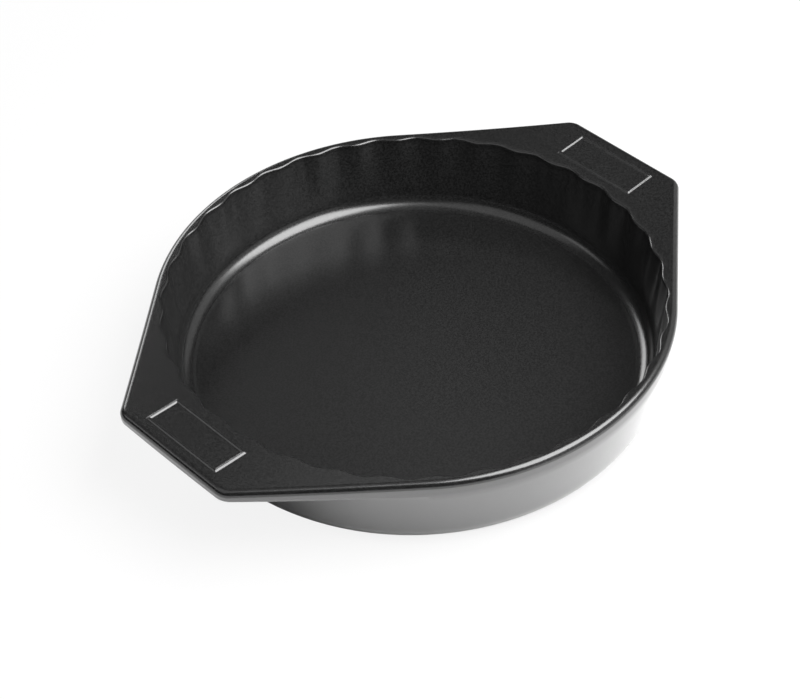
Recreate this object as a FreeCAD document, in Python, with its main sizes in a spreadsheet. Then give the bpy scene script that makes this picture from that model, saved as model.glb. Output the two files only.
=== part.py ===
import FreeCAD, Part
import math
import os

import Sketcher

# Round baking dish, cast and glazed as one piece, in millimetres.
# The origin is at the centre of the foot, +Z points up and the two handles lie along X.

Vector = FreeCAD.Vector
Constraint = Sketcher.Constraint

# Driving sizes
driving = {
    "RimRadius": 140.0,        # outer radius of the round rim
    "RimHeight": 52.0,         # from the table to the top of the round rim
    "RimBand": 8.4,            # upright band under the rim, as thick as the handles at their root
    "RimRounding": 3.4,        # rounding of the outer top edge
    "WallTaper": 8.2,          # how far the outer wall draws in below the band
    "BaseRounding": 16.0,      # rounding between outer wall and base
    "FootWidth": 9.0,          # flat ring that the dish stands on
    "FootRelief": 1.0,         # hollow inside that ring
    "RimWall": 6.0,            # mean wall at the rim
    "WellTaper": 5.6,          # how far the inner wall draws in from the rim to the floor
    "FloorThickness": 7.5,     # from the table to the inside floor
    "CoveRadius": 10.0,        # rounding between floor and inner wall
    "FluteDepth": 0.95,        # swing of each flute to either side of the mean wall, at the rim
    "FluteCount": 36,          # flutes around the inner wall
    "FluteRounding": 1.5,      # rounding of the fluted edge
    "HandleLength": 28.5,      # reach of each handle beyond the round rim
    "HandleHalfWidth": 39.8,   # half of a handle's outer edge, out to its sharp corners
    "HandleCorner": 10.0,      # rounding of those corners, seen from above
    "HandleRise": 2.5,         # lift of the outer edge above the rim
    "RiseRun": 84.5,           # length over which the top curves up to it
    "HandleLedge": 1.0,        # level strip of the underside next to the rim band
    "HandleUndercut": 3.6,     # how far the underside climbs from there to the outer edge
    "FrameOffset": 10.8,       # from the round rim to the middle of the raised frame
    "FrameLength": 53.0,       # raised frame on each handle, across the dish
    "FrameWidth": 20.0,        # and along the handle
    "FrameRib": 1.3,           # width of its rib
    "FrameHeight": 0.7,        # height of the rib above the handle
    "CutMargin": 4.0,          # how far cutting shapes run past the solid
}

doc = FreeCAD.newDocument("BakingDish")
sheet = doc.addObject("Spreadsheet::Sheet", "Sizes")
for row, (word, value) in enumerate(driving.items(), start=1):
    sheet.set("A%d" % row, word)
    sheet.set("B%d" % row, "%g" % value)
    sheet.setAlias("B%d" % row, word)
doc.recompute()


def size(word):
    return float(sheet.get(word))


# Sizes that follow from the driving ones
reach = size("RimRadius") + size("HandleLength")
bandBottom = size("RimHeight") - size("RimBand")
riseStart = reach - size("RiseRun")
riseRadius = (size("RiseRun") ** 2 + size("HandleRise") ** 2) / (2 * size("HandleRise"))
clearTop = size("RimHeight") + size("HandleRise") + size("FrameHeight") + size("CutMargin")
clearReach = reach + size("CutMargin")
hair = 0.01  # slack for telling which edges lie on a surface

# The same, as expressions for the constraints
reachText = "Sizes.RimRadius + Sizes.HandleLength"
clearTopText = "Sizes.RimHeight + Sizes.HandleRise + Sizes.FrameHeight + Sizes.CutMargin"
riseRadiusText = "(Sizes.RiseRun ^ 2 + Sizes.HandleRise ^ 2) / (2 * Sizes.HandleRise)"
wellAngleText = "atan(Sizes.WellTaper / (Sizes.RimHeight - Sizes.FloorThickness))"
coveTopText = "Sizes.FloorThickness + Sizes.CoveRadius * (1 - sin(%s))" % wellAngleText

body = doc.addObject("PartDesign::Body", "Dish")
body.Label = "baking_dish"


# A sketch on one of the dish's own origin planes, lifted along its normal by an expression.
def newSketch(name, role, lift=None):
    sketch = body.newObject("Sketcher::SketchObject", name)
    plane = [item for item in body.Origin.OriginFeatures if item.Role == role][0]
    sketch.AttachmentSupport = (plane, [""])
    sketch.MapMode = "FlatFace"
    if lift:
        sketch.setExpression("AttachmentOffset.Base.z", lift)
    return sketch


def point(x, y):
    return Vector(x, y, 0)


def addArc(sketch, x, y, radius, start, end, helper=False):
    circle = Part.Circle(point(x, y), Vector(0, 0, 1), radius)
    return sketch.addGeometry(Part.ArcOfCircle(circle, start, end), helper)


def addLine(sketch, start, end, helper=False):
    return sketch.addGeometry(Part.LineSegment(point(*start), point(*end)), helper)


# Closed outline of straight lines; returns their numbers.
def addPolygon(sketch, corners):
    following = corners[1:] + corners[:1]
    lines = [addLine(sketch, start, end) for start, end in zip(corners, following)]
    for line, follower in zip(lines, lines[1:] + lines[:1]):
        sketch.addConstraint(Constraint("Coincident", line, 2, follower, 1))
    return lines


# One dimension, tied to the sheet. Its starting value is what the geometry already measures.
def drive(sketch, name, expression, *where):
    index = sketch.addConstraint(Constraint(*where))
    sketch.renameConstraint(index, name)
    sketch.setExpression("Constraints." + name, expression)


# One feature on a sketch. Values that name the sheet become expressions.
def cutOrAdd(kind, name, sketch, **values):
    feature = body.newObject("PartDesign::" + kind, name)
    feature.Profile = sketch
    for key, value in values.items():
        if isinstance(value, str) and "Sizes" in value:
            feature.setExpression(key, value)
        else:
            setattr(feature, key, value)
    doc.recompute()


# Flange seen from above: the round rim, with a trapezoid handle at each end whose sides leave the
# rim along its tangents. It is first extruded to above the top of the handles.
sideAngle = math.atan2(size("HandleHalfWidth"), reach) \
    + math.acos(size("RimRadius") / math.hypot(reach, size("HandleHalfWidth")))
cornerX = reach - size("HandleCorner")
cornerY = (size("RimRadius") - size("HandleCorner") - cornerX * math.cos(sideAngle)) / math.sin(sideAngle)

outline = newSketch("FlangeOutline", "XY_Plane", "Sizes.RimHeight - Sizes.RimBand")
halfTurn = math.pi
arcs = [
    addArc(outline, cornerX, cornerY, size("HandleCorner"), 0, sideAngle),
    addArc(outline, 0, 0, size("RimRadius"), sideAngle, halfTurn - sideAngle),
    addArc(outline, -cornerX, cornerY, size("HandleCorner"), halfTurn - sideAngle, halfTurn),
    addArc(outline, -cornerX, -cornerY, size("HandleCorner"), halfTurn, halfTurn + sideAngle),
    addArc(outline, 0, 0, size("RimRadius"), halfTurn + sideAngle, 2 * halfTurn - sideAngle),
    addArc(outline, cornerX, -cornerY, size("HandleCorner"), 2 * halfTurn - sideAngle, 2 * halfTurn),
]
sides = []
for arc, follower in zip(arcs, arcs[1:] + arcs[:1]):
    ends = (outline.Geometry[arc].EndPoint, outline.Geometry[follower].StartPoint)
    sides.append(outline.addGeometry(Part.LineSegment(*ends), False))
for arc, side, follower in zip(arcs, sides, arcs[1:] + arcs[:1]):
    outline.addConstraint(Constraint("Tangent", arc, 2, side, 1))
    outline.addConstraint(Constraint("Tangent", side, 2, follower, 1))
for rim in (arcs[1], arcs[4]):
    outline.addConstraint(Constraint("Coincident", rim, 3, -1, 1))
outline.addConstraint(Constraint("Equal", arcs[1], arcs[4]))
for corner in (arcs[2], arcs[3], arcs[5]):
    outline.addConstraint(Constraint("Equal", arcs[0], corner))
rightEnd, leftEnd = sides[5], sides[2]
outline.addConstraint(Constraint("Vertical", rightEnd))
outline.addConstraint(Constraint("Vertical", leftEnd))
drive(outline, "rimRadius", "Sizes.RimRadius", "Radius", arcs[1], size("RimRadius"))
drive(outline, "cornerRadius", "Sizes.HandleCorner", "Radius", arcs[0], size("HandleCorner"))
drive(outline, "reachRight", reachText, "DistanceX", -1, 1, rightEnd, 2, reach)
drive(outline, "reachLeft", reachText, "DistanceX", leftEnd, 1, -1, 1, reach)
sharpCorners = [(rightEnd, sides[0], 1, 1), (leftEnd, sides[1], -1, 1),
                (leftEnd, sides[3], -1, -1), (rightEnd, sides[4], 1, -1)]
for number, (end, side, signX, signY) in enumerate(sharpCorners):
    sharp = outline.addGeometry(Part.Point(point(signX * reach, signY * size("HandleHalfWidth"))), True)
    outline.addConstraint(Constraint("PointOnObject", sharp, 1, end))
    outline.addConstraint(Constraint("PointOnObject", sharp, 1, side))
    span = ("DistanceY", -1, 1, sharp, 1) if signY > 0 else ("DistanceY", sharp, 1, -1, 1)
    drive(outline, "halfWidth%d" % number, "Sizes.HandleHalfWidth", *span, size("HandleHalfWidth"))
cutOrAdd("Pad", "Flange", outline, Length="Sizes.RimBand + Sizes.HandleRise + Sizes.CutMargin")


# Cuts everything above the dish's top, which is level over the bowl and curves up over each
# handle along an arc that leaves it smoothly. The cut lies higher than that by lift.
def addTopCut(name, lift, levelText):
    sketch = newSketch(name + "Profile", "XZ_Plane")
    level = size("RimHeight") + lift
    sweep = math.asin((clearReach - riseStart) / riseRadius)
    endHeight = level + riseRadius * (1 - math.cos(sweep))
    quarter = math.pi / 2
    right = addArc(sketch, riseStart, level + riseRadius, riseRadius, -quarter, -quarter + sweep)
    left = addArc(sketch, -riseStart, level + riseRadius, riseRadius, -quarter - sweep, -quarter)
    flat = addLine(sketch, (-riseStart, level), (riseStart, level))
    rightUp = addLine(sketch, (clearReach, endHeight), (clearReach, 2 * clearTop))
    across = addLine(sketch, (clearReach, 2 * clearTop), (-clearReach, 2 * clearTop))
    leftDown = addLine(sketch, (-clearReach, 2 * clearTop), (-clearReach, endHeight))
    sketch.addConstraint(Constraint("Tangent", left, 2, flat, 1))
    sketch.addConstraint(Constraint("Tangent", flat, 2, right, 1))
    sketch.addConstraint(Constraint("Coincident", right, 2, rightUp, 1))
    sketch.addConstraint(Constraint("Coincident", rightUp, 2, across, 1))
    sketch.addConstraint(Constraint("Coincident", across, 2, leftDown, 1))
    sketch.addConstraint(Constraint("Coincident", leftDown, 2, left, 1))
    sketch.addConstraint(Constraint("Horizontal", flat))
    sketch.addConstraint(Constraint("Horizontal", across))
    sketch.addConstraint(Constraint("Vertical", rightUp))
    sketch.addConstraint(Constraint("Vertical", leftDown))
    startText = reachText + " - Sizes.RiseRun"
    drive(sketch, "level", levelText, "DistanceY", -1, 1, flat, 1, level)
    drive(sketch, "startRight", startText, "DistanceX", -1, 1, flat, 2, riseStart)
    drive(sketch, "startLeft", startText, "DistanceX", flat, 1, -1, 1, riseStart)
    drive(sketch, "radiusRight", riseRadiusText, "Radius", right, riseRadius)
    drive(sketch, "radiusLeft", riseRadiusText, "Radius", left, riseRadius)
    drive(sketch, "endRight", reachText + " + Sizes.CutMargin", "DistanceX", -1, 1, rightUp, 1, clearReach)
    drive(sketch, "endLeft", reachText + " + Sizes.CutMargin", "DistanceX", leftDown, 2, -1, 1, clearReach)
    drive(sketch, "clear", "2 * (%s)" % clearTopText, "DistanceY", -1, 1, across, 1, 2 * clearTop)
    cutOrAdd("Pocket", name, sketch, SideType="Symmetric",
             Length="2 * (Sizes.RimRadius + Sizes.CutMargin)")


addTopCut("HandleTops", 0, "Sizes.RimHeight")

# Underside of the handles: a shallow cone that climbs away from the rim band.
ledgeRadius = size("RimRadius") + size("HandleLedge")
climb = size("HandleUndercut") / (reach - ledgeRadius)
farRadius = 2 * reach
inRadius = ledgeRadius - size("CutMargin")
undercut = newSketch("UndersideProfile", "XZ_Plane")
inner, lower, outer, slope = addPolygon(undercut, [
    (inRadius, bandBottom - climb * size("CutMargin")),
    (inRadius, 0),
    (farRadius, 0),
    (farRadius, bandBottom + climb * (farRadius - ledgeRadius)),
])
undercut.addConstraint(Constraint("Vertical", inner))
undercut.addConstraint(Constraint("Vertical", outer))
undercut.addConstraint(Constraint("Horizontal", lower))
undercut.addConstraint(Constraint("PointOnObject", lower, 1, -1))
ledgeEnd = undercut.addGeometry(Part.Point(point(ledgeRadius, bandBottom)), True)
tipPoint = undercut.addGeometry(Part.Point(point(reach, bandBottom + size("HandleUndercut"))), True)
bandText = "Sizes.RimHeight - Sizes.RimBand"
ledgeText = "Sizes.RimRadius + Sizes.HandleLedge"
undercut.addConstraint(Constraint("PointOnObject", ledgeEnd, 1, slope))
undercut.addConstraint(Constraint("PointOnObject", tipPoint, 1, slope))
drive(undercut, "ledge", ledgeText, "DistanceX", -1, 1, ledgeEnd, 1, ledgeRadius)
drive(undercut, "ledgeHeight", bandText, "DistanceY", -1, 1, ledgeEnd, 1, bandBottom)
drive(undercut, "tip", reachText, "DistanceX", -1, 1, tipPoint, 1, reach)
drive(undercut, "tipHeight", bandText + " + Sizes.HandleUndercut", "DistanceY", -1, 1, tipPoint, 1,
      bandBottom + size("HandleUndercut"))
drive(undercut, "start", ledgeText + " - Sizes.CutMargin", "DistanceX", -1, 1, lower, 1, inRadius)
drive(undercut, "far", "2 * (%s)" % reachText, "DistanceX", -1, 1, lower, 2, farRadius)
cutOrAdd("Groove", "Underside", undercut, ReferenceAxis=(undercut, ["V_Axis"]), Angle=360)

# Bowl below the rim band: foot ring, rounded base and straight tapering wall, turned about Z.
wallAngle = math.atan2(bandBottom, size("WallTaper"))
sharpBase = size("RimRadius") - size("WallTaper")
flatEnd = sharpBase - size("BaseRounding") * math.tan(wallAngle / 2)
roundX = flatEnd + size("BaseRounding") * math.sin(wallAngle)
roundZ = size("BaseRounding") * (1 - math.cos(wallAngle))
footInner = flatEnd - size("FootWidth")
reliefEnd = footInner - size("FootRelief")
bowlProfile = newSketch("BowlProfile", "XZ_Plane")
corners = [(0, size("FootRelief")), (reliefEnd, size("FootRelief")), (footInner, 0), (flatEnd, 0)]
hollow, step, foot = [addLine(bowlProfile, start, end) for start, end in zip(corners, corners[1:])]
rounding = addArc(bowlProfile, flatEnd, size("BaseRounding"), size("BaseRounding"),
                  -math.pi / 2, wallAngle - math.pi / 2)
wall = addLine(bowlProfile, (roundX, roundZ), (size("RimRadius"), bandBottom))
top = addLine(bowlProfile, (size("RimRadius"), bandBottom), (0, bandBottom))
axis = addLine(bowlProfile, (0, bandBottom), (0, size("FootRelief")))
for first, second in ((hollow, step), (step, foot), (wall, top), (top, axis), (axis, hollow)):
    bowlProfile.addConstraint(Constraint("Coincident", first, 2, second, 1))
bowlProfile.addConstraint(Constraint("Tangent", foot, 2, rounding, 1))
bowlProfile.addConstraint(Constraint("Tangent", rounding, 2, wall, 1))
for level in (hollow, top):
    bowlProfile.addConstraint(Constraint("Horizontal", level))
bowlProfile.addConstraint(Constraint("Vertical", axis))
bowlProfile.addConstraint(Constraint("PointOnObject", axis, 1, -2))
bowlProfile.addConstraint(Constraint("PointOnObject", foot, 1, -1))
bowlProfile.addConstraint(Constraint("PointOnObject", foot, 2, -1))
sharp = bowlProfile.addGeometry(Part.Point(point(sharpBase, 0)), True)
bowlProfile.addConstraint(Constraint("PointOnObject", sharp, 1, wall))
bowlProfile.addConstraint(Constraint("PointOnObject", sharp, 1, -1))
drive(bowlProfile, "sharpBase", "Sizes.RimRadius - Sizes.WallTaper", "DistanceX", -1, 1, sharp, 1, sharpBase)
drive(bowlProfile, "rimRadius", "Sizes.RimRadius", "DistanceX", -1, 1, wall, 2, size("RimRadius"))
drive(bowlProfile, "bandBottom", bandText, "DistanceY", -1, 1, wall, 2, bandBottom)
drive(bowlProfile, "rounding", "Sizes.BaseRounding", "Radius", rounding, size("BaseRounding"))
drive(bowlProfile, "footWidth", "Sizes.FootWidth", "DistanceX", foot, 1, foot, 2, size("FootWidth"))
drive(bowlProfile, "relief", "Sizes.FootRelief", "DistanceY", -1, 1, hollow, 2, size("FootRelief"))
drive(bowlProfile, "reliefStep", "Sizes.FootRelief", "DistanceX", step, 1, step, 2, size("FootRelief"))
cutOrAdd("Revolution", "Bowl", bowlProfile, ReferenceAxis=(bowlProfile, ["V_Axis"]), Angle=360)


# Rounds the edges that the test picks from the solid as it stands.
def addRounding(name, radius, chosen):
    base = body.Tip
    names = ["Edge%d" % (number + 1) for number, edge in enumerate(base.Shape.Edges) if chosen(edge)]
    feature = body.newObject("PartDesign::Fillet", name)
    feature.Base = (base, names)
    feature.setExpression("Radius", radius)
    doc.recompute()


# True for an edge that lies on the dish's top, all of it at least or at most as far from the axis
# as the limits say.
def isOnTop(edge, nearest, farthest):
    places = edge.discretize(Number=5)
    distances = [math.hypot(place.x, place.y) for place in places]
    isHigh = min(place.z for place in places) > size("RimHeight") - hair
    return isHigh and min(distances) > nearest - hair and max(distances) < farthest + hair


def isOuterTop(edge):
    return isOnTop(edge, size("RimRadius"), clearReach)


addRounding("RimRounding", "Sizes.RimRounding", isOuterTop)

# Inside of the bowl: floor, cove and a shaft that stays clear of the fluted wall above the cove.
wellFoot = size("RimRadius") - size("RimWall") - size("WellTaper")
wellAngle = math.atan(size("WellTaper") / (size("RimHeight") - size("FloorThickness")))
coveTop = size("FloorThickness") + size("CoveRadius") * (1 - math.sin(wellAngle))
coveTopRadius = wellFoot + math.tan(wellAngle) * (coveTop - size("FloorThickness"))
coveX = coveTopRadius - size("CoveRadius") * math.cos(wellAngle)
shaftRadius = coveTopRadius - 2 * size("CutMargin")
well = newSketch("WellProfile", "XZ_Plane")
floor = addLine(well, (0, size("FloorThickness")), (coveX, size("FloorThickness")))
cove = addArc(well, coveX, size("FloorThickness") + size("CoveRadius"), size("CoveRadius"),
              -math.pi / 2, -wellAngle)
shaft = addLine(well, (coveTopRadius, coveTop), (shaftRadius, clearTop))
cover = addLine(well, (shaftRadius, clearTop), (0, clearTop))
middle = addLine(well, (0, clearTop), (0, size("FloorThickness")))
meanWall = addLine(well, (wellFoot, size("FloorThickness")), (coveTopRadius, coveTop), True)
for first, second in ((cove, shaft), (shaft, cover), (cover, middle), (middle, floor)):
    well.addConstraint(Constraint("Coincident", first, 2, second, 1))
well.addConstraint(Constraint("Tangent", floor, 2, cove, 1))
well.addConstraint(Constraint("Tangent", cove, 2, meanWall, 2))
for level in (floor, cover):
    well.addConstraint(Constraint("Horizontal", level))
well.addConstraint(Constraint("Vertical", middle))
well.addConstraint(Constraint("PointOnObject", middle, 1, -2))
well.addConstraint(Constraint("PointOnObject", meanWall, 1, floor))
wellFootText = "Sizes.RimRadius - Sizes.RimWall - Sizes.WellTaper"
shaftText = wellFootText + " + tan(%s) * (%s - Sizes.FloorThickness) - 2 * Sizes.CutMargin" % (
    wellAngleText, coveTopText)
drive(well, "floor", "Sizes.FloorThickness", "DistanceY", -1, 1, floor, 2, size("FloorThickness"))
drive(well, "coveRadius", "Sizes.CoveRadius", "Radius", cove, size("CoveRadius"))
drive(well, "wellFoot", wellFootText, "DistanceX", -1, 1, meanWall, 1, wellFoot)
drive(well, "wallAngle", "90 deg - " + wellAngleText, "Angle", meanWall, math.pi / 2 - wellAngle)
drive(well, "shaft", shaftText, "DistanceX", -1, 1, shaft, 2, shaftRadius)
drive(well, "clearTop", clearTopText, "DistanceY", -1, 1, cover, 1, clearTop)
cutOrAdd("Groove", "Well", well, ReferenceAxis=(well, ["V_Axis"]), Angle=360)


# Closed wave around the axis: arcs that bow in and out by turns and meet on the circle of the
# given radius. There each crosses the circle at the angle whose half has the tangent
# 2 * swing / chord, so neighbours run on smoothly. With no swing the wave is the circle.
def addWave(sketch, radius, swing):
    count = round(size("FluteCount"))
    half = math.pi / (2 * count)
    chord = 2 * radius * math.sin(half)
    crossing = 2 * math.atan(2 * swing / chord)
    for number in range(2 * count):
        outward = crossing if number % 2 else -crossing
        middle = radius * math.cos(half) + chord / 2 * math.tan((outward + half) / 2)
        angle = 2 * half * number
        places = [(radius, angle - half), (middle, angle), (radius, angle + half)]
        sketch.addGeometry(Part.Arc(*[point(r * math.cos(a), r * math.sin(a)) for r, a in places]), False)


# Fluted wall: full flutes at the rim that fade into the plain circle on top of the cove. The upper
# outline lies above the handles, on the same straight lines.
above = clearTop - size("RimHeight")
waveFoot = newSketch("CoveTopCircle", "XY_Plane", coveTopText)
waveTop = newSketch("FluteOutline", "XY_Plane", clearTopText)
addWave(waveFoot, coveTopRadius, 0)
addWave(waveTop, size("RimRadius") - size("RimWall") + math.tan(wellAngle) * above,
        size("FluteDepth") * (clearTop - coveTop) / (size("RimHeight") - coveTop))
doc.recompute()
cutOrAdd("SubtractiveLoft", "Flutes", waveFoot, Sections=[(waveTop, [""])], Ruled=True)


def isFlutedEdge(edge):
    return isOnTop(edge, 0, size("RimRadius") - size("RimWall") + size("FluteDepth"))


addRounding("FluteRounding", "Sizes.FluteRounding", isFlutedEdge)

# Raised frame on each handle: a rib around a bare field. It is extruded from inside the handle and
# cut off parallel to the handle's top.
frames = newSketch("FrameOutline", "XY_Plane", "Sizes.RimHeight - Sizes.FrameHeight")
for sign in (-1, 1):
    for inset, word in ((0, "outer"), (size("FrameRib"), "inner")):
        middleX = sign * (size("RimRadius") + size("FrameOffset"))
        spanX = size("FrameWidth") / 2 - inset
        spanY = size("FrameLength") / 2 - inset
        bottom, right, upper, left = addPolygon(frames, [
            (middleX - spanX, -spanY), (middleX + spanX, -spanY),
            (middleX + spanX, spanY), (middleX - spanX, spanY)])
        for line, direction in ((bottom, "Horizontal"), (right, "Vertical"),
                                (upper, "Horizontal"), (left, "Vertical")):
            frames.addConstraint(Constraint(direction, line))
        side = "Right" if sign > 0 else "Left"
        rib = " - 2 * Sizes.FrameRib" if inset else ""
        ribHalf = " - Sizes.FrameRib" if inset else ""
        drive(frames, word + side + "Width", "Sizes.FrameWidth" + rib, "DistanceX", bottom, 1, bottom, 2,
              2 * spanX)
        drive(frames, word + side + "Length", "Sizes.FrameLength" + rib, "DistanceY", right, 1, right, 2,
              2 * spanY)
        drive(frames, word + side + "Half", "Sizes.FrameLength / 2" + ribHalf, "DistanceY", -1, 1, right, 2,
              spanY)
        nearText = "Sizes.RimRadius + Sizes.FrameOffset - Sizes.FrameWidth / 2"
        nearest = abs(middleX) - spanX
        nearText += " + Sizes.FrameRib" if inset else ""
        span = ("DistanceX", -1, 1, left, 1) if sign > 0 else ("DistanceX", right, 1, -1, 1)
        drive(frames, word + side + "Near", nearText, *span, nearest)
cutOrAdd("Pad", "FrameRibs", frames,
         Length="2 * Sizes.FrameHeight + Sizes.HandleRise + Sizes.CutMargin")
addTopCut("FrameTops", size("FrameHeight"), "Sizes.RimHeight + Sizes.FrameHeight")

doc.recompute()
failed = [item.Name for item in doc.Objects if "Invalid" in item.State or "Error" in item.State]
if failed:
    raise RuntimeError("failed: " + ", ".join(failed))
if body.Shape.isNull() or not body.Shape.isValid():
    raise RuntimeError("the dish is not a valid solid")

os.makedirs("parts", exist_ok=True)
body.Shape.exportStep("parts/%s.step" % body.Label)
print("%s: %d solid, %.0f cubic mm" % (body.Label, len(body.Shape.Solids), body.Shape.Volume))
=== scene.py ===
import math

import bmesh
import bpy
import numpy as np
from mathutils import Matrix, Vector


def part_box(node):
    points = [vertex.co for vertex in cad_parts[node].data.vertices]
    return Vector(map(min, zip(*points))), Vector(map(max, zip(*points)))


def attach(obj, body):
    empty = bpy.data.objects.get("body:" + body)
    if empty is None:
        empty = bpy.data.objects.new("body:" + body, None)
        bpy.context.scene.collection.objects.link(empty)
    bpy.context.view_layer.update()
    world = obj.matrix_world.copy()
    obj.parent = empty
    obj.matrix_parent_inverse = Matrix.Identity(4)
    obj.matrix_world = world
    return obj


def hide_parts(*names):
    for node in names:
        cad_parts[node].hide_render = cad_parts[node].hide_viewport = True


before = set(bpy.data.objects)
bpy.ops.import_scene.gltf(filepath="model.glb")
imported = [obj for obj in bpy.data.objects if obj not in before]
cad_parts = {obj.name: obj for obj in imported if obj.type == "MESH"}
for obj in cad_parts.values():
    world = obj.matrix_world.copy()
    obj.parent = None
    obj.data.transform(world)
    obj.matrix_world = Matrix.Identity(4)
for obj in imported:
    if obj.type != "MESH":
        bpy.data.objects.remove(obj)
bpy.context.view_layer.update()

# Round baking dish in black glazed stoneware: one cast piece, modelled again here with its rounded
# edges and its glaze. Lengths are in metres, +Z is up and the handles lie along X.
mm = 0.001
lowCorner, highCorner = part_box("baking_dish")
print("frame: CAD box", [round(v, 4) for v in lowCorner], [round(v, 4) for v in highCorner])


# Mesh of a dish. What a user would change; the rim's radius and the reach of the handles are the
# frame's own.
dish = {
    "rimHeight": 52.0 * mm,        # top of the round rim
    "rimBand": 8.4 * mm,           # upright band under it
    "wallTaper": 8.2 * mm,         # how far the outer wall draws in below the band
    "baseRounding": 16.0 * mm,
    "footWidth": 9.0 * mm,         # flat ring that the dish stands on
    "footRelief": 1.0 * mm,        # hollow inside it
    "rimWall": 6.0 * mm,           # mean wall at the rim
    "wellTaper": 5.6 * mm,         # how far the inner wall draws in down to the floor
    "floorThickness": 7.5 * mm,
    "coveRadius": 10.0 * mm,
    "fluteDepth": 0.95 * mm,       # swing to either side of the mean wall, at the rim
    "fluteCount": 36,
    "fluteRounding": 1.5 * mm,     # fluted inner edge
    "rimRounding": 3.4 * mm,       # outer top edge
    "handleHalfWidth": 39.8 * mm,  # half of a handle's outer edge, out to its sharp corners
    "handleCorner": 10.0 * mm,     # rounding of those corners, seen from above
    "handleRise": 2.5 * mm,        # lift of the outer edge above the rim
    "riseRun": 84.5 * mm,          # length over which the top curves up to it
    "handleLedge": 1.0 * mm,       # level strip of the underside next to the bowl
    "handleUndercut": 3.6 * mm,    # climb of the underside from there to the outer edge
    "lowerRounding": 1.2 * mm,     # lower edge of the handles
    "rootRounding": 2.5 * mm,      # hollow where the handles meet the bowl
    "frameOffset": 10.8 * mm,      # from the round rim to the middle of the raised frame
    "frameLength": 53.0 * mm,
    "frameWidth": 20.0 * mm,
    "frameRib": 1.3 * mm,          # width of its rib
    "frameHeight": 0.7 * mm,       # height of its rib
    "ribFlank": 1.0 * mm,          # width of the rounded flanks of the rib
    "stationsPerFlute": 16,
}

rim = highCorner.y
reach = highCorner.x
bandBottom = dish["rimHeight"] - dish["rimBand"]
sideAngle = math.atan2(dish["handleHalfWidth"], reach) \
    + math.acos(rim / math.hypot(reach, dish["handleHalfWidth"]))
wellAngle = math.atan(dish["wellTaper"] / (dish["rimHeight"] - dish["floorThickness"]))
coveTop = dish["floorThickness"] + dish["coveRadius"] * (1 - math.sin(wellAngle))
coveTopRadius = rim - dish["rimWall"] - math.tan(wellAngle) * (dish["rimHeight"] - coveTop)
coveX = coveTopRadius - dish["coveRadius"] * math.cos(wellAngle)


# Height of the dish's top: level over the bowl, then a circular arc that leaves it smoothly and
# has climbed by the handle's rise at the handle's outer edge.
def topHeight(x):
    run, rise = dish["riseRun"], dish["handleRise"]
    radius = (run ** 2 + rise ** 2) / (2 * rise)
    past = np.maximum(np.abs(x) - (reach - run), 0)
    return dish["rimHeight"] + radius - np.sqrt(radius ** 2 - past ** 2)


# Height of the frame's rib above the top: full along a rectangle's outline and falling to nothing
# over the flank, which is straight and rounds off at its top and foot by a fifth of its width.
def ribHeight(x, y):
    acrossX = np.abs(np.abs(x) - (rim + dish["frameOffset"])) - (dish["frameWidth"] - dish["frameRib"]) / 2
    acrossY = np.abs(y) - (dish["frameLength"] - dish["frameRib"]) / 2
    outside = np.hypot(np.maximum(acrossX, 0), np.maximum(acrossY, 0))
    distance = np.abs(outside + np.minimum(np.maximum(acrossX, acrossY), 0))
    t = np.clip((dish["frameRib"] / 2 + dish["ribFlank"] / 2 - distance) / dish["ribFlank"], 0, 1)
    low = np.minimum(t, 1 - t)
    eased = np.where(low < 0.2, low ** 2 / 0.32, (low - 0.1) / 0.8)
    return dish["frameHeight"] * np.where(t < 0.5, eased, 1 - eased)


# Radius of the fluted wall at a height and an angle: a cone, plus a wave that grows in proportion
# to the height above the cove. An inward ridge lies at angle 0.
def wallRadius(height, angle):
    climb = (height - coveTop) / (dish["rimHeight"] - coveTop)
    wave = -np.cos(dish["fluteCount"] * angle)
    return coveTopRadius + math.tan(wellAngle) * (height - coveTop) + dish["fluteDepth"] * climb * wave


# Quarter of the dish's outline, by the length s along it from the middle of a handle's outer edge:
# straight edge, corner arc, straight side, rim arc. Each point is a centre plus a radius along the
# outward normal, plus the travel along the tangent. Returns the points and the normals.
def outlineAt(s):
    corner = dish["handleCorner"]
    turn = np.select([s < endLine, s < endLine + cornerArc, s < roundStart],
                     [0 * s, (s - endLine) / corner, sideAngle + 0 * s], sideAngle + (s - roundStart) / rim)
    travel = np.where(s < endLine, s - endLine, np.clip(s - endLine - cornerArc, 0, sideLine))
    normal = np.stack([np.cos(turn), np.sin(turn)], axis=-1)
    tangent = np.stack([-np.sin(turn), np.cos(turn)], axis=-1)
    onHandle = np.array([cornerX, endLine]) + corner * normal + travel[..., None] * tangent
    return np.where((s < roundStart)[..., None], onHandle, rim * normal), normal


cornerX = reach - dish["handleCorner"]
endLine = (rim - dish["handleCorner"] - cornerX * math.cos(sideAngle)) / math.sin(sideAngle)
cornerArc = dish["handleCorner"] * sideAngle
sideLine = cornerX * math.sin(sideAngle) - endLine * math.cos(sideAngle)
roundStart = endLine + cornerArc + sideLine
ribReach = 1.3  # close stations and rows reach this far from a rib's middle, in its half widths


# Angles of the stations around a quarter of the fluted edge. They are even, and closer together
# where the frame's cross ribs meet them, and each has its partner on the outline. Next to the frame
# the two lie at the same y, so that the mesh follows the frame. Past it they fan out to the corner.
def stationAngles():
    innerEdge = rim - dish["rimWall"]
    ribY = (dish["frameLength"] - dish["frameRib"]) / 2
    halfRib = dish["frameRib"] / 2 + dish["ribFlank"] / 2
    across = np.linspace(-ribReach, ribReach, 15) * halfRib
    even = np.linspace(0, math.pi / 2, dish["fluteCount"] * dish["stationsPerFlute"] // 4 + 1)
    clear = np.abs(innerEdge * np.sin(even) - ribY) > (ribReach + 0.2) * halfRib
    angles = np.sort(np.concatenate([even[clear], np.arcsin((ribY + across) / innerEdge)]))
    return angles, innerEdge


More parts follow.
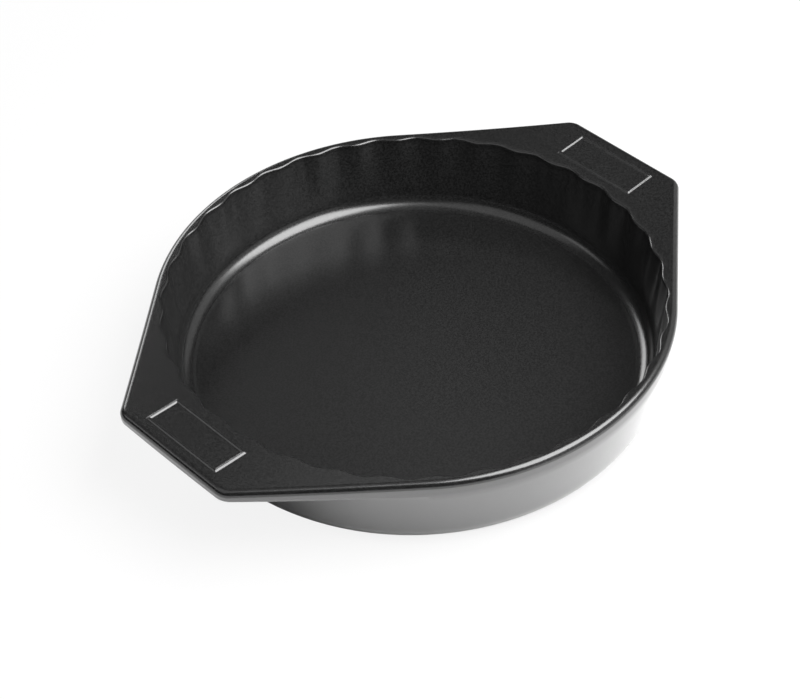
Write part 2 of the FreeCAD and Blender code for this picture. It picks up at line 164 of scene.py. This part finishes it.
# Length along the outline of each station's partner, and the angle up to which stations keep to the
# frame. Between the knots the lengths go in straight lines, and the handle's corner takes the
# stations from 20 to 30 degrees.
def partnerLength(angles, innerEdge):
    fanStart = 0.82 * endLine  # past this length the stations fan out
    besideFrame = math.asin(fanStart / innerEdge)
    knotAngles = [besideFrame, math.radians(20), math.radians(30), sideAngle, math.pi / 2]
    knotLengths = [fanStart, endLine, endLine + cornerArc, roundStart,
                   roundStart + rim * (math.pi / 2 - sideAngle)]
    fanned = np.interp(angles, knotAngles, knotLengths)
    return np.where(angles < besideFrame, innerEdge * np.sin(angles), fanned), besideFrame


# Point at a radius and an angle about the axis, at a height.
def around(radius, angle, height):
    return np.stack(np.broadcast_arrays(radius * np.cos(angle), radius * np.sin(angle), height), axis=-1)


# Fluted edge at each angle: centre line of its rounding, as a radius and a height. The rounding
# touches the wall from outside and the top from below.
def edgeCentre(angle):
    rounding = dish["fluteRounding"]
    offset = rounding / math.cos(wellAngle)
    firstRadius = wallRadius(dish["rimHeight"] - rounding, angle) + offset
    height = topHeight(firstRadius * np.cos(angle)) - rounding
    return wallRadius(height, angle) + offset, height


# Shares, between fluted edge and outer edge, at which the top has its rows. Beside the frame they
# keep to the frame's long ribs, which run along Y. Elsewhere they stay as they are there.
def topShares(angles, besideFrame):
    near = np.minimum(angles, besideFrame)
    startX = edgeCentre(near)[0] * np.cos(near)
    endX = reach - dish["rimRounding"]
    halfRib = dish["frameRib"] / 2 + dish["ribFlank"] / 2
    ribX = (dish["frameWidth"] - dish["frameRib"]) / 2
    across = np.linspace(-ribReach, ribReach, 13) * halfRib
    field = np.linspace(-0.8, 0.8, 4) * ribX
    lines = rim + dish["frameOffset"] + np.concatenate([across - ribX, field, across + ribX])
    shares = (lines - startX) / (endX - startX)
    before = shares[:, :1] * np.array([0.3, 0.6, 0.85])
    after = shares[:, -1:] + (1 - shares[:, -1:]) * np.array([0.35, 0.7, 1.0])
    return np.concatenate([before, shares, after], axis=1)


# Quarter of the dish as a grid: one station per angle, and rows that run from the middle of the
# floor over the cove, the fluted wall, the rim and the handle, and back under the handle and down
# the bowl to the middle of the foot. Returns the grid, the number of rows down to the outer top
# edge and the number of rows of the floor, with the first two of the cove.
def quarterGrid():
    angles, innerEdge = stationAngles()
    lengths, besideFrame = partnerLength(angles, innerEdge)
    outer, normal = outlineAt(lengths)
    angle = angles[:, None]

    # floor in rings, then the cove as an arc that ends along the wall
    floorRows = around(coveX * np.array([0.15, 0.4, 0.65, 0.85, 0.95]), angle, dish["floorThickness"])
    turn = np.linspace(-math.pi / 2, -wellAngle, 14)
    coveRows = around(coveX + dish["coveRadius"] * np.cos(turn), angle,
                      dish["floorThickness"] + dish["coveRadius"] * (1 + np.sin(turn)))

    # fluted wall, and the arc that rounds it off into the top
    centreRadius, centreHeight = edgeCentre(angle)
    wallTop = centreHeight + dish["fluteRounding"] * math.sin(wellAngle)
    heights = coveTop + (wallTop - coveTop) * np.linspace(0, 1, 14)[1:]
    wallRows = around(wallRadius(heights, angle), angle, heights)
    turn = np.linspace(math.pi - wellAngle, math.pi / 2, 10)[1:]
    edgeRows = around(centreRadius + dish["fluteRounding"] * np.cos(turn), angle,
                      centreHeight + dish["fluteRounding"] * np.sin(turn))

    # top: straight from fluted edge to outer edge in plan; past the frame the rows let go of its ribs
    start = edgeRows[:, -1:, :2]
    end = (outer - dish["rimRounding"] * normal)[:, None, :]
    shares = topShares(angle, besideFrame)
    aside = np.clip(1 - (angle - besideFrame) / (0.15 * besideFrame), 0, 1)
    sharesY = shares + (np.minimum(shares / shares[:, 2:3], 1) - shares) * aside
    plan = start + (end - start) * np.stack([shares, sharesY], axis=-1)
    height = topHeight(plan[..., 0]) + ribHeight(plan[..., 0], plan[..., 1])
    topRows = np.concatenate([plan, height[..., None]], axis=-1)

    # outer top edge: an arc that goes in along the outline's normal and down from the top
    turn = np.linspace(0, math.pi / 2, 9)[1:]
    inset = dish["rimRounding"] * (1 - np.sin(turn))
    plan = outer[:, None, :] - inset[:, None] * normal[:, None, :]
    drop = dish["rimRounding"] * (1 - np.cos(turn))
    roundRows = np.concatenate([plan, (topHeight(plan[..., 0]) - drop)[..., None]], axis=-1)

    # upright band, and the lower edge of the handles, which shrinks to nothing with their overhang
    climb = dish["handleUndercut"] / (reach - rim - dish["handleLedge"])
    overhang = np.linalg.norm(outer, axis=1, keepdims=True) - rim
    lower = np.minimum(dish["lowerRounding"], overhang / 3)
    lowHeight = bandBottom + climb * np.maximum(overhang - dish["handleLedge"], 0)
    bandTop = roundRows[:, -1, 2:]
    heights = bandTop + (lowHeight + lower - bandTop) * np.linspace(0, 1, 4)[1:]
    bandRows = np.concatenate([np.repeat(outer[:, None, :], 3, axis=1), heights[..., None]], axis=-1)
    turn = np.linspace(0, math.pi / 2, 6)[1:]
    plan = outer[:, None, :] - (lower * (1 - np.cos(turn)))[..., None] * normal[:, None, :]
    lowerRows = np.concatenate([plan, (lowHeight + lower * (1 - np.sin(turn)))[..., None]], axis=-1)

    # underside of the handles: straight towards the bowl, which the line to the fluted edge meets at
    # the root, and there a hollow, which is a quadratic curve with its middle point in the corner
    inner = innerEdge * np.stack([np.cos(angles), np.sin(angles)], axis=-1)
    way = outer - inner
    a, b, c = (way ** 2).sum(1), (inner * way).sum(1), innerEdge ** 2 - rim ** 2
    root = inner + ((np.sqrt(b * b - a * c) - b) / a)[:, None] * way
    rootAngle = np.arctan2(root[:, 1], root[:, 0])[:, None]
    lowerEnd = lowerRows[:, -1, :2]
    width = np.linalg.norm(lowerEnd - root, axis=1, keepdims=True)
    hollow = np.minimum(dish["rootRounding"], width / 2)
    hollowStart = root + (lowerEnd - root) * hollow / np.maximum(width, 1e-9)
    share = np.linspace(0, 1, 7)[1:, None]
    plan = lowerEnd[:, None, :] + (hollowStart - lowerEnd)[:, None, :] * share
    past = np.linalg.norm(plan, axis=-1) - rim - dish["handleLedge"]
    underRows = np.concatenate([plan, (bandBottom + climb * np.maximum(past, 0))[..., None]], axis=-1)

    def outerWall(height):
        return rim - dish["wallTaper"] * (bandBottom - height) / bandBottom

    first = underRows[:, -1:, :]
    middle = np.concatenate([root, np.full_like(rootAngle, bandBottom)], axis=1)[:, None, :]
    last = around(outerWall(bandBottom - hollow), rootAngle, bandBottom - hollow)
    t = np.linspace(0, 1, 8)[1:, None]
    hollowRows = (1 - t) ** 2 * first + 2 * t * (1 - t) * middle + t ** 2 * last

    # bowl: a cone, the arc of the base, then the flat foot ring and the hollow inside it
    wallTilt = math.atan2(bandBottom, dish["wallTaper"])
    flatEnd = rim - dish["wallTaper"] - dish["baseRounding"] * math.tan(wallTilt / 2)
    roundTop = dish["baseRounding"] * (1 - math.cos(wallTilt))
    heights = bandBottom - hollow + (roundTop - bandBottom + hollow) * np.linspace(0, 1, 9)[1:]
    bowlRows = around(outerWall(heights), rootAngle, heights)
    turn = np.linspace(wallTilt, 0, 14)[1:]
    baseRows = around(flatEnd + dish["baseRounding"] * np.sin(turn), rootAngle,
                      dish["baseRounding"] * (1 - np.cos(turn)))
    footInner = flatEnd - dish["footWidth"]
    relief = dish["footRelief"]
    footRadii = np.array([footInner + 0.4 * relief, footInner, footInner - 0.5 * relief, footInner - relief,
                          footInner - 1.4 * relief, 0.6 * footInner, 0.2 * footInner])
    footHeights = relief * np.array([0, 0.08, 0.5, 0.92, 1, 1, 1])
    footRows = around(footRadii, rootAngle, footHeights)

    upper = np.concatenate([floorRows, coveRows, wallRows, edgeRows, topRows, roundRows], axis=1)
    lower = np.concatenate([bandRows, lowerRows, underRows, hollowRows, bowlRows, baseRows, footRows], axis=1)
    upperRows = upper.shape[1]
    settledRows = floorRows.shape[1] + 2
    return np.concatenate([upper, lower], axis=1), upperRows, settledRows


satin, glossy, settled = range(3)  # numbers of the glazes in the mesh


# Whole dish: the quarter mirrored in X and then in Y, closed around the axis and at both middles.
# Each face gets the number of its glaze: satin inside and on top, glossy past the outer top edge,
# which is the outside, and settled on the floor.
def dishMesh():
    quarter, upperRows, settledRows = quarterGrid()
    half = np.concatenate([quarter, quarter[-2::-1] * np.array([-1, 1, 1])])
    whole = np.concatenate([half, half[-2:0:-1] * np.array([1, -1, 1])])
    stations, rows = whole.shape[:2]
    number = np.arange(stations * rows).reshape(stations, rows)
    following = np.roll(number, -1, axis=0)
    quads = np.stack([number[:, :-1], number[:, 1:], following[:, 1:], following[:, :-1]], axis=-1)
    floorPole, footPole = stations * rows, stations * rows + 1
    floorFan = np.stack([np.full(stations, floorPole), number[:, 0], following[:, 0]], axis=-1)
    footFan = np.stack([np.full(stations, footPole), following[:, -1], number[:, -1]], axis=-1)
    poles = np.array([[0, 0, dish["floorThickness"]], [0, 0, dish["footRelief"]]])
    points = np.concatenate([whole.reshape(-1, 3), poles])
    mesh = bpy.data.meshes.new("bakingDishGlazed")
    mesh.from_pydata(points, [], quads.reshape(-1, 4).tolist() + floorFan.tolist() + footFan.tolist())
    row = np.arange(rows - 1)
    byRow = np.where(row >= upperRows - 1, glossy, np.where(row < settledRows, settled, satin))
    byFace = np.concatenate([np.tile(byRow, stations), np.full(stations, settled), np.full(stations, glossy)])
    mesh.polygons.foreach_set("material_index", byFace.astype(np.int32))

    # on the round part the handle's underside has no width, so its rows fall together
    work = bmesh.new()
    work.from_mesh(mesh)
    bmesh.ops.remove_doubles(work, verts=work.verts, dist=1e-6)
    work.to_mesh(mesh)
    work.free()
    mesh.polygons.foreach_set("use_smooth", np.ones(len(mesh.polygons), bool))
    mesh.update()
    return mesh


# sRGB hex colour as linear red, green, blue and full alpha.
def fromHex(colour):
    parts = [int(colour[i:i + 2], 16) / 255 for i in (1, 3, 5)]
    return [p / 12.92 if p <= 0.04045 else ((p + 0.055) / 1.055) ** 2.4 for p in parts] + [1.0]


# Adds a node, sets its properties and its sockets, and links those that are given as sockets.
def addNode(tree, kind, properties=None, **sockets):
    node = tree.nodes.new(kind)
    for key, value in (properties or {}).items():
        setattr(node, key, value)
    for key, value in sockets.items():
        socket = node.inputs[key]
        if isinstance(value, bpy.types.NodeSocket):
            tree.links.new(value, socket)
        else:
            socket.default_value = value
    return node


glaze = {
    "colour": "#0f0f0f",           # body of the glaze
    "fleckColour": "#202020",      # its fine lighter grain
    "grainContrast": (0.4, 0.6),   # levels of the noise between which one turns into the other
    "paintedLightWallColour": "#181818",       # the same two painted lighter on the steep inner wall: painted light that stands in for light the lamps don't bring there
    "paintedLightWallFleckColour": "#2d2d2d",
    "paintedLightFadeIn": (1.0 * mm, 12.5 * mm),  # heights above the floor over which the painted light comes in
    "wallFadeOut": (4.0 * mm, 1.0 * mm),  # depths below the rim over which the painted light goes again
    "roughness": 0.22,             # satin: lamps keep their edges, a little soft
    "floorRoughness": 0.28,        # duller where the glaze has settled
    "ior": 1.75,                   # dense, iron-rich glass
    "floorIor": 1.58,
    "coatIor": 1.68,               # second coat on the outside
    "coatRoughness": 0.1,
    "grain": 1.1 * mm,             # width of the grain and of the orange peel, coarser than real
    "peelHeight": 0.012 * mm,      # height of the orange peel
}

paintedLightRampSpan = 60.0 * mm  # height that the whole colour ramp of the painted light's share stands for


# Iron-black glaze fired on stoneware: nearly black with a fine grain, and a satin mirror in which
# lamps and table show with soft edges, broken by a slight orange peel. The outside was dipped twice,
# and its second coat of clear glaze gives it a deeper and sharper shine. On the floor the glaze has
# settled thick and is a little duller. The grain is drawn as coarse as it needs to show.
def blackGlaze(name, roughness, ior, coat):
    material = bpy.data.materials.new(name)
    material.use_nodes = True
    tree = material.node_tree
    surface = tree.nodes["Principled BSDF"]
    place = addNode(tree, "ShaderNodeTexCoord").outputs["Object"]
    grain = addNode(tree, "ShaderNodeTexNoise", Vector=place, Scale=1 / glaze["grain"], Detail=3.0,
                    Roughness=0.6).outputs["Fac"]
    shades = []
    for colour, fleckColour in (("colour", "fleckColour"), ("paintedLightWallColour", "paintedLightWallFleckColour")):
        ramp = addNode(tree, "ShaderNodeValToRGB", Fac=grain)
        ends = zip(ramp.color_ramp.elements, glaze["grainContrast"], (colour, fleckColour))
        for element, position, shade in ends:
            element.position = position
            element.color = fromHex(glaze[shade])
        shades.append(ramp.outputs["Color"])

    # share of the painted light on the inner wall by height: none on the floor and on the top, whole between
    height = addNode(tree, "ShaderNodeSeparateXYZ", Vector=place).outputs["Z"]
    climb = addNode(tree, "ShaderNodeMapRange", Value=height)
    climb.inputs["From Max"].default_value = dish["rimHeight"]
    climb.inputs["To Max"].default_value = dish["rimHeight"] / paintedLightRampSpan
    share = addNode(tree, "ShaderNodeValToRGB", Fac=climb.outputs["Result"])
    ramp = share.color_ramp
    ramp.elements[0].position = (dish["floorThickness"] + glaze["paintedLightFadeIn"][0]) / paintedLightRampSpan
    ramp.elements[0].color = (0, 0, 0, 1)
    ramp.elements[1].position = (dish["floorThickness"] + glaze["paintedLightFadeIn"][1]) / paintedLightRampSpan
    ramp.elements[1].color = (1, 1, 1, 1)
    for depth, level in zip(glaze["wallFadeOut"], (1, 0)):
        position = (dish["rimHeight"] - depth) / paintedLightRampSpan
        ramp.elements.new(position).color = (level, level, level, 1)
    colour = addNode(tree, "ShaderNodeMix", {"data_type": "RGBA"})
    tree.links.new(share.outputs["Color"], colour.inputs[0])
    tree.links.new(shades[0], colour.inputs[6])
    tree.links.new(shades[1], colour.inputs[7])
    peel = addNode(tree, "ShaderNodeBump", Height=grain, Strength=1.0, Distance=glaze["peelHeight"])
    tree.links.new(colour.outputs[2], surface.inputs["Base Color"])
    tree.links.new(peel.outputs["Normal"], surface.inputs["Normal"])
    surface.inputs["Roughness"].default_value = roughness
    surface.inputs["IOR"].default_value = ior
    surface.inputs["Coat Weight"].default_value = coat
    surface.inputs["Coat IOR"].default_value = glaze["coatIor"]
    surface.inputs["Coat Roughness"].default_value = glaze["coatRoughness"]
    tree.links.new(peel.outputs["Normal"], surface.inputs["Coat Normal"])
    return material


bakingDish = bpy.data.objects.new("baking_dish_glazed", dishMesh())
bpy.context.scene.collection.objects.link(bakingDish)
glazes = {
    satin: blackGlaze("satinBlackGlaze", glaze["roughness"], glaze["ior"], 0.0),
    glossy: blackGlaze("glossyBlackGlaze", glaze["roughness"], glaze["ior"], 1.0),
    settled: blackGlaze("settledBlackGlaze", glaze["floorRoughness"], glaze["floorIor"], 0.0),
}
for number in sorted(glazes):
    bakingDish.data.materials.append(glazes[number])
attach(bakingDish, "root")
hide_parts("baking_dish")
print("dish:", len(bakingDish.data.vertices), "points,", len(bakingDish.data.polygons), "faces")


# Camera: it looks at the middle of the rim, then turns a little aside and down. Angles in degrees.
camera = {
    "azimuth": -42.8647,
    "elevation": 41.7969,
    "roll": -2.2173,
    "distance": 1.15248,
    "asideAndUp": (-0.0071, -0.0258),  # turn of the view, as tangents
    "lens": 97.39,                     # millimetres
    "sensor": 36,                      # its width in millimetres
}


def addCamera():
    azimuth, elevation, roll = [math.radians(camera[key]) for key in ("azimuth", "elevation", "roll")]
    back = Vector((math.sin(azimuth) * math.cos(elevation), -math.cos(azimuth) * math.cos(elevation),
                   math.sin(elevation)))
    right = Vector((math.cos(azimuth), math.sin(azimuth), 0))
    aside, upward = camera["asideAndUp"]
    forward = (-back + right * aside + back.cross(right) * upward).normalized()
    right = forward.cross(Vector((0, 0, 1))).normalized()
    up = right.cross(forward)
    rolledRight = right * math.cos(roll) + up * math.sin(roll)
    rolledUp = up * math.cos(roll) - right * math.sin(roll)
    pose = Matrix((rolledRight, rolledUp, -forward)).transposed().to_4x4()
    pose.translation = Vector((0, 0, dish["rimHeight"])) + back * camera["distance"]
    data = bpy.data.cameras.new("camera")
    data.sensor_width = camera["sensor"]
    data.lens = camera["lens"]
    item = bpy.data.objects.new("camera", data)
    item.matrix_world = pose
    bpy.context.scene.collection.objects.link(item)
    bpy.context.scene.camera = item


addCamera()
print("camera placed")


# Studio: softboxes by their direction from the dish, in degrees, their size and the brightness of
# their cloth, where 1 is white.
softboxes = {
    "frontSoftbox": {"azimuth": 300, "elevation": 58, "distance": 1.0, "width": 0.92, "height": 0.71,
                     "brightness": 7.5},
    "frontSpill": {"azimuth": 300, "elevation": 57, "distance": 1.1, "width": 1.35, "height": 1.15,
                   "brightness": 0.5},
    "backSoftbox": {"azimuth": 73.5, "elevation": 26, "distance": 1.5, "width": 0.57, "height": 0.43,
                    "brightness": 5.4},
    "farSpot": {"azimuth": 46, "elevation": 48, "distance": 2.0, "width": 0.25, "height": 0.25,
                "brightness": 0.9},
    "frontFill": {"azimuth": 288, "elevation": 15, "distance": 1.5, "width": 1.5, "height": 0.6,
                  "brightness": 0.45},
    "sideFill": {"azimuth": 347, "elevation": 27, "distance": 1.5, "width": 1.5, "height": 1.1,
                 "brightness": 0.5},
    "leftFill": {"azimuth": 165, "elevation": 58, "distance": 1.5, "width": 1.4, "height": 1.2,
                 "brightness": 0.5},
    "leftCard": {"azimuth": 134, "elevation": 34, "distance": 1.5, "width": 0.5, "height": 0.3,
                 "brightness": 1.0},
    "farGlow": {"azimuth": 60, "elevation": 6, "distance": 3.0, "width": 5.0, "height": 0.6,
                "brightness": 0.35},
}
room = {
    "horizon": 0.03,           # brightness of the dim studio around, from the horizon up
    "middle": 0.05,
    "middleHeight": 0.65,      # where that lies between them, as the sine of the elevation
    "ceiling": 0.14,
    "tableSize": 30.0,
    "tableColour": "#f4f4f4",
    "tableDrop": 0.1 * mm,     # its top lies this far below the foot
    "glowSeen": 0.87,          # share of its own white in what the camera sees
    "glowFront": 0.0,          # the same in reflections: where the dish shades the table
    "glowFar": 0.85,           # and away from there
    "shadeMiddle": (-0.05, -0.14, 0.0),  # middle of that shaded place
    "shadeEdge": (0.17, 0.3),  # distances from it over which one turns into the other
}


# Rectangular lamp that faces the dish. Its energy is what makes its cloth as bright as is asked.
def addSoftbox(name, box):
    azimuth, elevation = math.radians(box["azimuth"]), math.radians(box["elevation"])
    direction = Vector((math.cos(azimuth) * math.cos(elevation), math.sin(azimuth) * math.cos(elevation),
                        math.sin(elevation)))
    light = bpy.data.lights.new(name, "AREA")
    light.shape = "RECTANGLE"
    light.size, light.size_y = box["width"], box["height"]
    light.energy = box["brightness"] * math.pi * box["width"] * box["height"]
    item = bpy.data.objects.new(name, light)
    facing = direction.to_track_quat("Z", "Y").to_matrix().to_4x4()
    item.matrix_world = Matrix.Translation(direction * box["distance"]) @ facing
    bpy.context.scene.collection.objects.link(item)


# White table. The camera sees mostly its own white and a share of the light that falls on it, so
# the dish's shadow stays. A reflection of it is white too, except in front of the dish, where it
# shows only that light.
def addTable():
    half = room["tableSize"] / 2
    corners = [(-half, -half), (half, -half), (half, half), (-half, half)]
    mesh = bpy.data.meshes.new("table")
    mesh.from_pydata([(x, y, -room["tableDrop"]) for x, y in corners], [], [(0, 1, 2, 3)])
    item = bpy.data.objects.new("table", mesh)
    bpy.context.scene.collection.objects.link(item)
    material = bpy.data.materials.new("whiteTable")
    material.use_nodes = True
    tree = material.node_tree
    tree.nodes.remove(tree.nodes["Principled BSDF"])
    rays = addNode(tree, "ShaderNodeLightPath").outputs
    place = addNode(tree, "ShaderNodeTexCoord").outputs["Object"]
    away = addNode(tree, "ShaderNodeVectorMath", {"operation": "DISTANCE"})
    tree.links.new(place, away.inputs[0])
    away.inputs[1].default_value = room["shadeMiddle"]
    reflected = addNode(tree, "ShaderNodeMapRange", Value=away.outputs["Value"])
    reflected.inputs["From Min"].default_value = room["shadeEdge"][0]
    reflected.inputs["From Max"].default_value = room["shadeEdge"][1]
    reflected.inputs["To Min"].default_value = room["glowFront"]
    reflected.inputs["To Max"].default_value = room["glowFar"]
    mirrored = addNode(tree, "ShaderNodeMath", {"operation": "MAXIMUM"})
    tree.links.new(rays["Is Glossy Ray"], mirrored.inputs[0])
    tree.links.new(rays["Is Transmission Ray"], mirrored.inputs[1])
    mirroredShare = addNode(tree, "ShaderNodeMath", {"operation": "MULTIPLY"})
    tree.links.new(mirrored.outputs[0], mirroredShare.inputs[0])
    tree.links.new(reflected.outputs[0], mirroredShare.inputs[1])
    seenShare = addNode(tree, "ShaderNodeMath", {"operation": "MULTIPLY"})
    tree.links.new(rays["Is Camera Ray"], seenShare.inputs[0])
    seenShare.inputs[1].default_value = room["glowSeen"]
    share = addNode(tree, "ShaderNodeMath", {"operation": "MAXIMUM"})
    tree.links.new(seenShare.outputs[0], share.inputs[0])
    tree.links.new(mirroredShare.outputs[0], share.inputs[1])
    paper = addNode(tree, "ShaderNodeBsdfDiffuse", Color=fromHex(room["tableColour"]))
    glow = addNode(tree, "ShaderNodeEmission", Color=(1, 1, 1, 1), Strength=1.0)
    mix = addNode(tree, "ShaderNodeMixShader", Fac=share.outputs[0])
    tree.links.new(paper.outputs[0], mix.inputs[1])
    tree.links.new(glow.outputs[0], mix.inputs[2])
    tree.links.new(mix.outputs[0], tree.nodes["Material Output"].inputs["Surface"])
    mesh.materials.append(material)


# Dim studio around the dish, lighter towards the ceiling. The camera sees the table's white instead.
def addRoom():
    world = bpy.data.worlds.new("studio")
    world.use_nodes = True
    tree = world.node_tree
    direction = addNode(tree, "ShaderNodeTexCoord").outputs["Generated"]
    height = addNode(tree, "ShaderNodeSeparateXYZ", Vector=direction).outputs["Z"]
    shade = addNode(tree, "ShaderNodeValToRGB", Fac=height)
    shade.color_ramp.elements.new(room["middleHeight"])
    for element, level in zip(shade.color_ramp.elements, ("horizon", "middle", "ceiling")):
        element.color = (room[level], room[level], room[level], 1)
    rays = addNode(tree, "ShaderNodeLightPath").outputs
    seen = addNode(tree, "ShaderNodeMix", {"data_type": "RGBA"})
    tree.links.new(rays["Is Camera Ray"], seen.inputs[0])
    tree.links.new(shade.outputs["Color"], seen.inputs[6])
    seen.inputs[7].default_value = (room["glowSeen"], room["glowSeen"], room["glowSeen"], 1)
    tree.links.new(seen.outputs[2], tree.nodes["Background"].inputs["Color"])
    bpy.context.scene.world = world
    bpy.context.scene.view_settings.view_transform = "Standard"


for name, box in softboxes.items():
    addSoftbox(name, box)
addTable()
addRoom()
print("studio lit")
